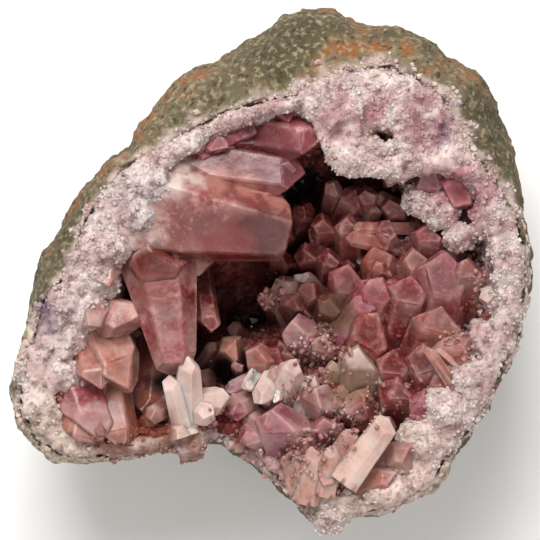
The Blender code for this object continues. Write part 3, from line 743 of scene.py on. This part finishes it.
LEFT_WALL = (
    ((-22.8, -8.6, 37.0), -10, 44, 6.4, 0.85, 10, 0.5, 1.15, 0.2, 0.6),
    ((-24.4, -19.8, 36.5), -62, 34, 8.8, 0.8, 0, 0.5, 1.15, 0.15, 0.5),
    ((-29.2, -19.4, 37.0), -76, 40, 6.8, 0.85, 20, 0.45, 1.15, 0.2, 0.5),
    ((-29.8, -27.6, 36.5), -70, 30, 7.6, 0.8, 5, 0.5, 1.15, 0.85, 0.7),
    ((-25.2, -29.6, 34.8), -76, 24, 7.2, 0.8, 25, 0.45, 1.15, 0.1, 0.2),
    ((-32.6, -31.4, 35.4), -98, 18, 6.6, 0.85, 10, 0.5, 1.15, 0.15, 0.5),
    ((-30.6, -8.6, 38.6), -120, 56, 5.4, 0.85, 15, 0.4, 1.15, 0.5, 0.9),
    ((-27.4, -2.6, 38.8), -60, 50, 5.6, 0.85, 10, 0.4, 1.15, 0.4, 0.9),
    ((-20.6, -25.4, 29.5), -95, 32, 5.2, 0.8, 10, 0.3, 1.15, 0.2, 0.1),
)
PALE_SPRAY = (
    ((-13.5, -14.4, 38.6), 88, 32, 3.8, 0.85, 10, 0.1, 2.0, 0.0, 1.0),
    ((-16.6, -17.6, 37.0), 104, 24, 4.2, 0.8, 0, 0.15, 1.4, 0.0, 1.0),
    ((-6.8, -21.4, 36.5), 12, 36, 4.8, 0.7, 20, 0.2, 1.5, 0.2, 0.9),
    ((-9.6, -24.4, 37.0), -14, 52, 4.4, 0.8, 5, 0.3, 1.4, 0.1, 0.9),
    ((-15.6, -28.4, 36.8), -112, 68, 4.4, 0.85, 0, 0.3, 1.3, 0.0, 1.0),
    ((-20.0, -24.6, 36.4), -150, 66, 3.6, 0.85, 0, 0.3, 1.3, 0.1, 0.9),
    ((-13.4, -28.6, 35.2), -80, 64, 4.2, 0.85, 0, 0.4, 1.3, 0.0, 0.9),
)
CENTRE = (
    ((-5.4, -12.6, 28.0), 62, 58, 6.2, 0.85, 10, 0.5, 1.15, 0.1, 0.2),
    ((-1.8, -13.4, 31.5), 100, 54, 5.4, 0.85, 0, 0.3, 1.15, 0.3, 0.3),
    ((1.6, -13.6, 30.5), 62, 50, 5.4, 0.85, 15, 0.3, 1.15, 0.7, 0.1),
    ((-1.8, -22.0, 36.4), -120, 58, 4.4, 0.8, 0, 0.3, 1.15, 0.2, 1.0),
    ((-6.4, -23.6, 35.0), -150, 62, 4.8, 0.85, 10, 0.35, 1.15, 0.95, 0.5),
    ((4.6, -15.2, 35.5), 66, 36, 5.2, 0.8, 20, 0.25, 1.15, 0.6, 0.7),
    ((2.2, -24.0, 38.0), 100, 52, 10.4, 0.75, 10, 0.55, 1.15, 0.95, 0.35),
    ((4.6, -8.8, 31.0), 112, 54, 6.8, 0.85, 0, 0.45, 1.15, 1.0, 0.4),
    ((9.6, -11.4, 31.0), 80, 60, 5.8, 0.85, 20, 0.45, 1.15, 0.3, 0.4),
    ((8.4, -20.4, 35.0), 82, 62, 6.4, 0.85, 0, 0.45, 1.15, 0.5, 0.6),
    ((15.3, -13.5, 35.4), 84, 48, 7.4, 0.8, 30, 0.35, 1.2, 0.45, 0.7),
    ((16.2, -22.2, 35.0), 60, 66, 7.0, 0.85, 20, 0.45, 1.15, 0.6, 0.4),
    ((1.4, -1.4, 26.5), 130, 44, 4.6, 0.85, 0, 0.25, 1.15, 0.5, 0.5),
    ((7.6, -2.6, 26.5), 60, 52, 5.0, 0.85, 10, 0.3, 1.15, 0.5, 0.2),
)
RIGHT = (
    ((24.0, -1.3, 34.5), 80, 40, 7.6, 0.8, 28, 0.15, 1.2, 0.65, 0.25),
    ((29.8, 2.7, 37.0), 84, 38, 9.6, 0.75, 30, 0.2, 1.2, 0.85, 0.4),
    ((19.2, -1.5, 32.5), 62, 38, 7.2, 0.8, 30, 0.15, 1.2, 0.8, 0.15),
    ((13.7, 0.7, 29.5), 86, 40, 6.6, 0.85, 24, 0.2, 1.2, 0.75, 0.0),
    ((27.0, 7.2, 34.0), 92, 46, 5.8, 0.85, 20, 0.35, 1.15, 0.8, 0.3),
    ((24.4, 3.4, 34.0), 100, 44, 5.0, 0.8, 30, 0.3, 1.2, 0.2, 0.5),
    ((13.6, 8.6, 30.5), 96, 52, 5.2, 0.85, 20, 0.45, 1.15, 0.45, 0.5),
    ((14.8, 13.0, 30.0), 70, 58, 5.0, 0.85, 10, 0.35, 1.15, 0.5, 0.4),
    ((8.4, 8.0, 25.0), 100, 36, 4.8, 0.8, 0, 0.25, 1.15, 0.5, 0.0),
    ((21.3, -13.6, 33.6), 96, 44, 6.8, 0.85, 10, 0.2, 1.2, 0.5, 0.0),
    ((18.8, -8.4, 32.4), 66, 50, 9.8, 0.8, 20, 0.4, 1.2, 0.42, 0.0),
    ((25.7, -12.3, 35.6), 100, 38, 7.0, 0.8, 28, 0.1, 1.3, 0.7, 0.1),
    ((29.3, -6.7, 36.6), 74, 44, 8.8, 0.75, 30, 0.3, 1.2, 0.3, 0.5),
    ((17.5, -4.6, 32.4), 50, 30, 4.4, 0.6, 30, 0.2, 1.2, 0.95, 0.5),
    ((33.0, -13.0, 38.0), 40, 56, 8.6, 0.85, 20, 0.5, 1.2, 0.25, 0.9),
    ((33.4, 1.4, 37.4), 88, 46, 6.0, 0.8, 20, 0.4, 1.2, 0.6, 0.7),
    ((30.6, -17.2, 37.0), 70, 56, 6.2, 0.85, 0, 0.4, 1.15, 0.4, 0.7),
    ((26.0, -21.8, 36.5), 90, 66, 6.2, 0.85, 10, 0.4, 1.15, 0.9, 0.7),
    ((22.0, -18.8, 34.5), 84, 56, 6.8, 0.85, 24, 0.35, 1.15, 0.6, 0.3),
    ((26.2, -12.9, 39.0), 125, 20, 1.9, 0.9, 0, 0.1, 1.3, 0.1, 1.0),
    ((20.4, 8.0, 30.5), 70, 40, 5.0, 0.8, 20, 0.3, 1.2, 0.5, 0.2),
    ((18.0, 3.8, 30.0), 100, 34, 5.4, 0.7, 30, 0.3, 1.2, 0.3, 0.3),
)
LOWEST_LOBE = (
    ((19.4, -25.6, 39.6), 54, 10, 5.2, 0.5, 8, 0.35, 1.2, 0.0, 1.0,
     ((-90, 70, 0.0), (180, 45, 2.0), (0, 60, 1.0))),
    ((14.4, -26.8, 37.6), 60, 12, 3.6, 0.6, 20, 0.2, 1.5, 0.1, 0.6),
    ((11.0, -29.4, 37.4), 74, 14, 3.4, 0.6, 0, 0.2, 1.6, 0.1, 0.7),
    ((7.2, -29.6, 38.0), 82, 20, 4.0, 0.6, 30, 0.2, 1.4, 0.1, 0.8),
    ((3.4, -30.4, 37.4), 104, 24, 3.6, 0.6, 10, 0.2, 1.4, 0.1, 0.8),
    ((20.8, -34.4, 36.2), 20, 30, 5.6, 0.7, 10, 0.4, 1.3, 0.2, 0.5),
    ((23.6, -30.4, 37.0), 30, 58, 7.0, 0.85, 0, 0.5, 1.15, 0.3, 0.6),
    ((3.2, -31.6, 37.0), -140, 58, 7.0, 0.85, 10, 0.5, 1.15, 0.7, 0.8),
    ((8.4, -35.4, 37.0), -110, 60, 6.4, 0.85, 20, 0.45, 1.15, 0.2, 0.7),
    ((-2.6, -27.6, 35.0), -122, 64, 6.6, 0.8, 0, 0.4, 1.15, 0.6, 0.7),
    ((6.4, -28.8, 37.4), 60, 50, 6.4, 0.85, 10, 0.4, 1.15, 0.3, 0.6),
)
# Small crystals that stand low in the hollow, between the big ones.
DEEP = (
    ((9.4, 8.4, 28.5), 92, 62, 5.4, 0.85, 30, 0.3, 1.15, 0.45, 0.05),
    ((11.0, 14.4, 30.0), 80, 62, 3.8, 0.85, 10, 0.35, 1.15, 0.5, 0.35),
    ((16.4, 13.4, 31.0), 100, 60, 4.4, 0.85, 30, 0.35, 1.15, 0.55, 0.4),
    ((13.0, 5.6, 31.6), 170, 24, 3.4, 0.6, 30, 0.3, 1.2, 0.25, 0.2),
    ((19.0, 0.8, 32.6), 60, 64, 3.2, 0.85, 10, 0.3, 1.15, 0.35, 0.4),
    ((6.2, 3.4, 26.0), 110, 66, 5.2, 0.85, 10, 0.3, 1.15, 0.45, 0.1),
    ((2.0, 2.6, 24.5), 80, 66, 4.6, 0.85, 20, 0.3, 1.15, 0.5, 0.2),
    ((-1.0, -4.2, 27.5), 120, 66, 4.0, 0.85, 0, 0.3, 1.15, 0.6, 0.5),
    ((4.4, -4.8, 27.5), 60, 66, 4.8, 0.85, 20, 0.3, 1.15, 0.5, 0.2),
    ((10.6, -5.2, 29.5), 80, 62, 5.6, 0.85, 20, 0.3, 1.15, 0.6, 0.15),
    ((10.4, 2.6, 28.0), 84, 58, 5.0, 0.85, 30, 0.3, 1.15, 0.7, 0.1),
    ((6.0, 10.6, 26.5), 70, 66, 4.8, 0.85, 10, 0.3, 1.15, 0.5, 0.1),
    ((1.6, 8.6, 25.0), 60, 68, 4.6, 0.85, 10, 0.3, 1.15, 0.45, 0.1),
    ((20.6, 11.8, 31.0), 110, 60, 4.8, 0.85, 20, 0.35, 1.15, 0.6, 0.3),
)


def axis_of(crystal):
    """The way that a crystal points, from its root to its tip."""
    heading, rise = math.radians(crystal.heading), math.radians(crystal.rise)
    level = Vector((math.cos(heading), math.sin(heading), 0)) * math.cos(rise)
    return level + Vector((0, 0, math.sin(rise)))


def length_to_wall(crystal):
    """How long a crystal is from its tip down its axis to its root in the quartz lining."""
    tip = Vector(crystal.tip) * MM
    _, _, _, distance = QUARTZ_WALL.ray_cast(tip, -axis_of(crystal))
    reach = distance / MM if distance else crystal.width
    return min(max(reach, SHORTEST_SHARE * crystal.width), LONGEST_CRYSTAL) + ROOT_DEPTH


def grow(crystal, growth):
    """One crystal in its place. Its points carry its colour and its milkiness, and how near they
    are to the middle of a face, where one sees deepest into it."""
    size = crystal.width * MM
    faces = crystal.faces and [(azimuth, slope, back * MM) for azimuth, slope, back in crystal.faces]
    length = length_to_wall(crystal) * MM
    made = cut_crystal(size, length, crystal.blunt, crystal.spread, growth, faces)
    bpy.ops.mesh.select_all(action="SELECT")
    bpy.ops.mesh.bevel(offset=EDGE_WEAR * size, segments=1, affect="EDGES")
    end_edit()
    corners = [vertex.co for vertex in made.data.vertices]
    for face in made.data.polygons:
        outline = [corners[number] for number in face.vertices]
        sides = zip(outline, outline[1:] + outline[:1])
        longest = max((start - end).length for start, end in sides)
        face.select = face.area > max(BROAD_AREA * size ** 2, BROAD_SHAPE * longest ** 2)
    bpy.ops.object.mode_set(mode="EDIT")
    bpy.ops.mesh.poke()
    end_edit()
    count = len(made.data.vertices)
    cores = [0.0] * len(corners) + [1.0] * (count - len(corners))
    layers = {"tone": [crystal.tone] * count, "milk": [crystal.milk] * count, "core": cores}
    for name, values in layers.items():
        made.data.attributes.new(name, "FLOAT", "POINT").data.foreach_set("value", values)
    start_edit()
    bpy.ops.mesh.subdivide(number_cuts=FACE_CUTS)
    end_edit()
    turn = Matrix.Rotation(math.radians(crystal.turn), 4, "Z")
    flat = Matrix.Diagonal((1, crystal.flat, 1, 1))
    # The flattened side of a crystal faces up.
    lean = Matrix.Rotation(math.radians(crystal.rise) - math.pi / 2, 4, "X")
    swing = Matrix.Rotation(math.radians(crystal.heading) - math.pi / 2, 4, "Z")
    made.data.transform(Matrix.Translation(Vector(crystal.tip) * MM) @ swing @ lean @ flat @ turn)
    return made


# The stone's colour from peach over brown and rose to mauve.
HUES = (
    (0.0, tint(226, 164, 138)), (0.25, tint(176, 92, 76)), (0.5, tint(142, 42, 40)),
    (0.75, tint(154, 54, 64)), (1.0, tint(184, 104, 126)),
)
# Where the crystals are darker, browner or paler than their own colour: middle, reach and colour.
# The first, darkest patch is painted shade on the lower face of the big block.
CRYSTAL_STAINS_AND_SHADE = (
    ((-1.6, 6, 38), 5.6, tint(82, 6, 8)), ((-7, 3.6, 38), 4.6, tint(138, 52, 50)),
    ((-9, 15.4, 39.5), 2.6, tint(188, 130, 118)), ((-3.6, 14, 39), 2.4, tint(184, 124, 112)),
    ((1, 12.2, 38), 2, tint(180, 116, 106)), ((-19, 1.6, 38), 3.4, tint(104, 46, 38)),
    ((-18.5, -2.4, 38), 3.6, tint(150, 86, 78)), ((34, -8.6, 35), 3, tint(140, 70, 38)),
    ((-4.6, -30, 33), 3, tint(140, 66, 40)), ((-20, -27, 32), 6, tint(134, 72, 52)),
    ((10, -7, 30), 4, tint(110, 84, 62)), ((14, -18, 33), 4.4, tint(164, 132, 108)),
    ((2, 18, 38), 5, tint(124, 66, 70)),
)
# Where white quartz frosts the roots of the biggest crystal.
FROSTED_ROOTS = [(middle, reach, tint(228, 208, 200)) for middle, reach in (
    ((-17, 15, 38), 5), ((-22, 8, 38), 5), ((-13, 12, 38), 3),
)]

crystal_finish, tree, shader, place = new_material(
    "pink amethyst", Roughness=0.4, IOR=1.544, Specular_IOR_Level=0.36, Transmission_Weight=0.25,
    Subsurface_Weight=0.7, Subsurface_Scale=1.1 * MM, Subsurface_Radius=(1.0, 0.5, 0.46),
)
milk = stored(tree, "milk")
core = stored(tree, "core")
hues = put(tree, "ShaderNodeValToRGB", Fac=stored(tree, "tone"))
stops = hues.color_ramp.elements
while len(stops) < len(HUES):
    stops.new(0.5)
for stop, (tone, hue) in zip(stops, HUES):
    stop.position = tone
    stop.color = hue
# Cloudy darker stone, a milky veil, pale wisps, and fine white specks that are partly white grains
# and partly painted glints.
clouds = grain(tree, place, 3.2 * MM, 4, 0.42, 0.74)
colour = mix(tree, clouds, hues.outputs["Color"], tint(112, 42, 38))
mottle = grain(tree, place, 0.7 * MM, 5, 0.4, 0.7)
colour = mix(tree, both(tree, mottle, 0.5), colour, tint(100, 30, 28))
veil = grain(tree, place, 2.4 * MM, 6, 0.34, 0.66)
colour = mix(tree, both(tree, milk, veil), colour, tint(232, 206, 196))
wisps = both(tree, grain(tree, place, 0.9 * MM, 6, 0.52, 0.68), grain(tree, place, 4 * MM, 2, 0.4, 0.6))
colour = mix(tree, both(tree, wisps, 0.75), colour, tint(222, 166, 158))
# Fine white specks: partly grains in the stone, partly painted glints.
specks_and_painted_glints = grain(tree, place, 0.4 * MM, 5, 0.54, 0.72)
colour = mix(tree, both(tree, specks_and_painted_glints, 0.3), colour, tint(232, 196, 186))
# Painted light along the edges, as if it shone through the thin stone there, and painted deep red
# shade in the middle of clear faces, where one sees deepest into the stone.
edges = both(tree, remap(tree, core, 0.35, 0.0, most=0.34), grain(tree, place, 1.6 * MM, 4, 0.38, 0.6))
colour = mix(tree, edges, colour, tint(224, 176, 168))
clear = both(tree, remap(tree, milk, 0.0, 0.8, 0.62, 0.0), grain(tree, place, 5 * MM, 2, 0.3, 0.6))
deep = both(tree, remap(tree, core, 0.1, 0.7), clear)
colour = mix(tree, deep, colour, tint(96, 26, 28))
colour = mix(tree, remap(tree, milk, 0.6, 1.0, most=0.6), colour, tint(248, 230, 220))
patchy = both(tree, grain(tree, place, 2 * MM, 4, 0.2, 0.45), 0.85)
# Stains, and painted shade on the big block's lower face.
colour = paint(tree, place, colour, CRYSTAL_STAINS_AND_SHADE, 3, patchy)
colour = paint(tree, place, colour, FROSTED_ROOTS, 5, grain(tree, place, 1.2 * MM, 5, 0.32, 0.6))
# Little light reaches the stone low in the hollow, and none the darkest gaps.
height = put(tree, "ShaderNodeSeparateXYZ", Vector=place).outputs["Z"]
colour = mix(tree, remap(tree, height, 31 * MM, 18 * MM, most=0.85), colour, tint(84, 26, 22))
for centre, reach in VOIDS:
    colour = mix(tree, zone(tree, place, centre, reach, 2), colour, tint(24, 7, 6))
feed(tree, shader.inputs["Base Color"], colour)
feed(tree, shader.inputs["Roughness"], remap(tree, veil, 0.0, 1.0, 0.2, 0.46))
relief(tree, shader, grain(tree, place, 0.8 * MM, 3, 0.2, 0.8), 0.1 * MM)


def etch(piece):
    """Makes the faces of crystals slightly uneven, and keeps their edges sharp."""
    roughen(piece, "CLOUDS", 3.5 * MM, 0.3 * MM)
    roughen(piece, "CLOUDS", 1.4 * MM, 0.14 * MM)
    bpy.ops.object.shade_smooth_by_angle(angle=EDGE_ANGLE)


def with_neighbours(crystal, count, growth):
    """A crystal and smaller ones that grew side by side with it, a little behind its tip."""
    cluster = [crystal]
    heading = math.radians(crystal.heading)
    across = Vector((-math.sin(heading), math.cos(heading), 0))
    for number in range(count):
        side = (1 if number % 2 else -1) * growth.uniform(0.45, 0.75) * crystal.width
        back = growth.uniform(0.25, 0.6) * crystal.width
        tip = Vector(crystal.tip) + across * side - axis_of(crystal) * back
        cluster.append(crystal._replace(
            tip=tuple(tip), heading=crystal.heading + growth.uniform(-16, 16),
            rise=crystal.rise + growth.uniform(-10, 10), width=crystal.width * growth.uniform(0.4, 0.7),
            turn=growth.uniform(0, 60), blunt=growth.uniform(0.1, 0.5), faces=None,
            tone=ramp(crystal.tone + growth.uniform(-0.12, 0.12), 0, 1),
            milk=ramp(crystal.milk + growth.uniform(-0.2, 0.2), 0, 1),
        ))
    return cluster


# Patches where small crystals settled on the big ones: place and reach.
GRANULAR = ((8, -15, 6), (17, -22, 4), (24, -23, 4), (-1, -3, 4), (6, -31, 5), (-30, -31, 5),
            (32, -12, 4), (34, -3, 3), (12, -26, 4), (4, -20, 3), (-8, -27, 4), (36, 4, 3))


def seeded_share(place, normal):
    """1 in the middle of a granular patch, on what faces up."""
    near = 1 - ramp(nearest(place, GRANULAR), 0.6, 1.1)
    return near * ramp(normal.z, 0.0, 0.4) * ramp(noise.noise(place / 2), -0.3, 0.2)


class Group(NamedTuple):
    """Crystals that grew as one piece: how much wider and milkier they are than their rows say, how
    many smaller neighbours each one has, how far they may lie over the lining's lip in millimetres,
    and whether small crystals settled on them."""

    name: str
    rows: tuple
    wider: float = 1.0
    milkier: float = 1.0
    neighbours: int = 0
    overlap: float = 0.0
    settled: bool = True


GROUPS = (
    Group("block_and_blade", UPPER_LEFT, settled=False),
    Group("upper_edge_crystals", UPPER_EDGE, wider=1.1, milkier=0.2, neighbours=2, settled=False),
    Group("left_wall_crystals", LEFT_WALL, wider=1.2, milkier=0.75, neighbours=1),
    Group("pale_spray", PALE_SPRAY, milkier=0.95),
    Group("centre_crystals", CENTRE, wider=1.05, milkier=1.2, neighbours=3),
    Group("right_crystals", RIGHT, wider=1.15, milkier=0.35, neighbours=1),
    Group("lowest_lobe_crystals", LOWEST_LOBE, milkier=0.85, overlap=3.5),
    Group("deep_crystals", DEEP, milkier=0.8, neighbours=1),
)

growth = random.Random(CRYSTAL_SEED)
stub_masters = cut_masters("stubs", (0.5, 0.8, 1.2), growth)
settled = []
for group in GROUPS:
    cluster = []
    for row in group.rows:
        crystal = Crystal(*row)
        width, milk = crystal.width * group.wider, min(1.0, crystal.milk * group.milkier)
        crystal = crystal._replace(width=width, milk=milk)
        cluster += with_neighbours(crystal, group.neighbours, growth)
    piece = join([grow(crystal, growth) for crystal in cluster], group.name)
    etch(piece)
    keep_in_hollow(piece, group.overlap * MM)
    keep_inside(piece)
    stand_for(piece, "amethyst_crust", crystal_finish)
    if group.settled:
        add_layer(piece, "seeded", seeded_share)
        settled.append(scatter(
            piece, f"{group.name}_points", stub_masters, "seeded", spacing=0.6, sizes=(0.3, 0.9),
            tilt=40, upright=0.3, seed=41,
        ))
points = join(settled, "settled_points")
pale = [0.7 if growth.random() > 0.6 else 0.2 for _ in points.data.vertices]
points.data.attributes["milk"].data.foreach_set("value", pale)
stand_for(points, "amethyst_crust", crystal_finish)


# ----------------------------------------
# The small crystals of the hollow, which fill it between the big ones: stout points a few
# millimetres wide, then a fine druse over the roots, pink in the hollow and white near its mouth.
# ----------------------------------------
# The bed's colour and milkiness round some places: x, y, reach, tone and milk.
COLOUR_ZONES = (
    (-28, -12, 12, 0.25, 0.4), (-24, -28, 10, 0.2, 0.3), (-6, -24, 8, 0.8, 0.6),
    (4, -12, 10, 0.6, 0.5), (14, 10, 12, 0.5, 0.2), (26, 0, 12, 0.75, 0.3),
    (28, -16, 10, 0.4, 0.5), (14, -30, 12, 0.2, 0.6), (-14, 16, 14, 0.8, 0.4), (34, 8, 8, 0.8, 0.7),
)


def blend_zones(place):
    """The tone and the milkiness at a place, blended from the zones round it."""
    total, tones, milks = 1e-9, 0.0, 0.0
    for x, y, reach, tone, milk in COLOUR_ZONES:
        weight = math.exp(-((place.x - x) ** 2 + (place.y - y) ** 2) / reach ** 2)
        total += weight
        tones += weight * tone
        milks += weight * milk
    return tones / total, milks / total


# Dark gaps between the crystals where only bare root shows: place and reach.
GAPS = (
    (-5.5, -6.3, 3.4), (-6.3, -17, 3.0), (-18.7, -20, 2.6), (-22, -15, 4.0), (6, 9, 4.0),
    (21, 9.5, 3.0), (14, -25.5, 2.4), (10, -27.5, 2.2), (9, -34, 2.2), (-5, 19, 3),
)


def gap_share(place):
    """0 in the middle of a gap, 1 away from every gap."""
    return ramp(nearest(place, GAPS), 0.7, 1.3)


# Where fine white druse runs down from the rim over the bed: place and reach.
FROSTED = (
    (-27, 4, 8), (-22, 13, 7), (-32, -4, 7), (-37, -14, 6), (-12, 21, 5), (39, 6, 7), (41, -4, 6),
    (31.5, 5.6, 3.4), (36, -12, 5), (33, -21, 8), (25, -26, 5), (24, -32, 8), (14, -38, 7),
    (2, -34, 6), (20, 17, 5), (32, 15, 6), (-14.5, -27, 3.4),
)


def frost_share(place):
    """1 in the middle of a frosted patch, 0 away from every patch."""
    return 1 - ramp(nearest(place, FROSTED), 0.6, 1.2)


# The heights in millimetres between which crystals, and white druse, begin on the bed.
PINK_RISE = (14, 20)
WHITE_RISE = (20, 27)
add_layer(bed, "tone", lambda place, normal: blend_zones(place)[0])
add_layer(bed, "milk", lambda place, normal: max(blend_zones(place)[1], frost_share(place)))
add_layer(bed, "core", lambda place, normal: 0.5)
add_layer(bed, "bare", lambda place, normal: (
    (1 - frost_share(place)) * ramp(place.z, *PINK_RISE) * gap_share(place)
))
add_layer(bed, "frost", lambda place, normal: (
    frost_share(place) * ramp(place.z, *WHITE_RISE) * gap_share(place)
))
stubs = scatter(bed, "small_crystals", stub_masters, "bare", spacing=3.6, sizes=(1.4, 4.0),
                tilt=30, upright=0.8, seed=11)
stand_for(stubs, "amethyst_crust", crystal_finish)
fine = scatter(bed, "pink_druse", quartz_masters, "bare", spacing=0.84, sizes=(0.6, 1.6),
               tilt=40, upright=0.4, seed=21)
stand_for(fine, "amethyst_crust", crystal_finish)
frost = scatter(bed, "white_druse", quartz_masters, "frost", spacing=0.56, sizes=(0.5, 1.4),
                tilt=40, upright=0.4, seed=31)
stand_for(frost, "amethyst_crust", quartz_finish)


size = {"cad": CAD_BOX, "visual": [list(corner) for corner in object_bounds()]}
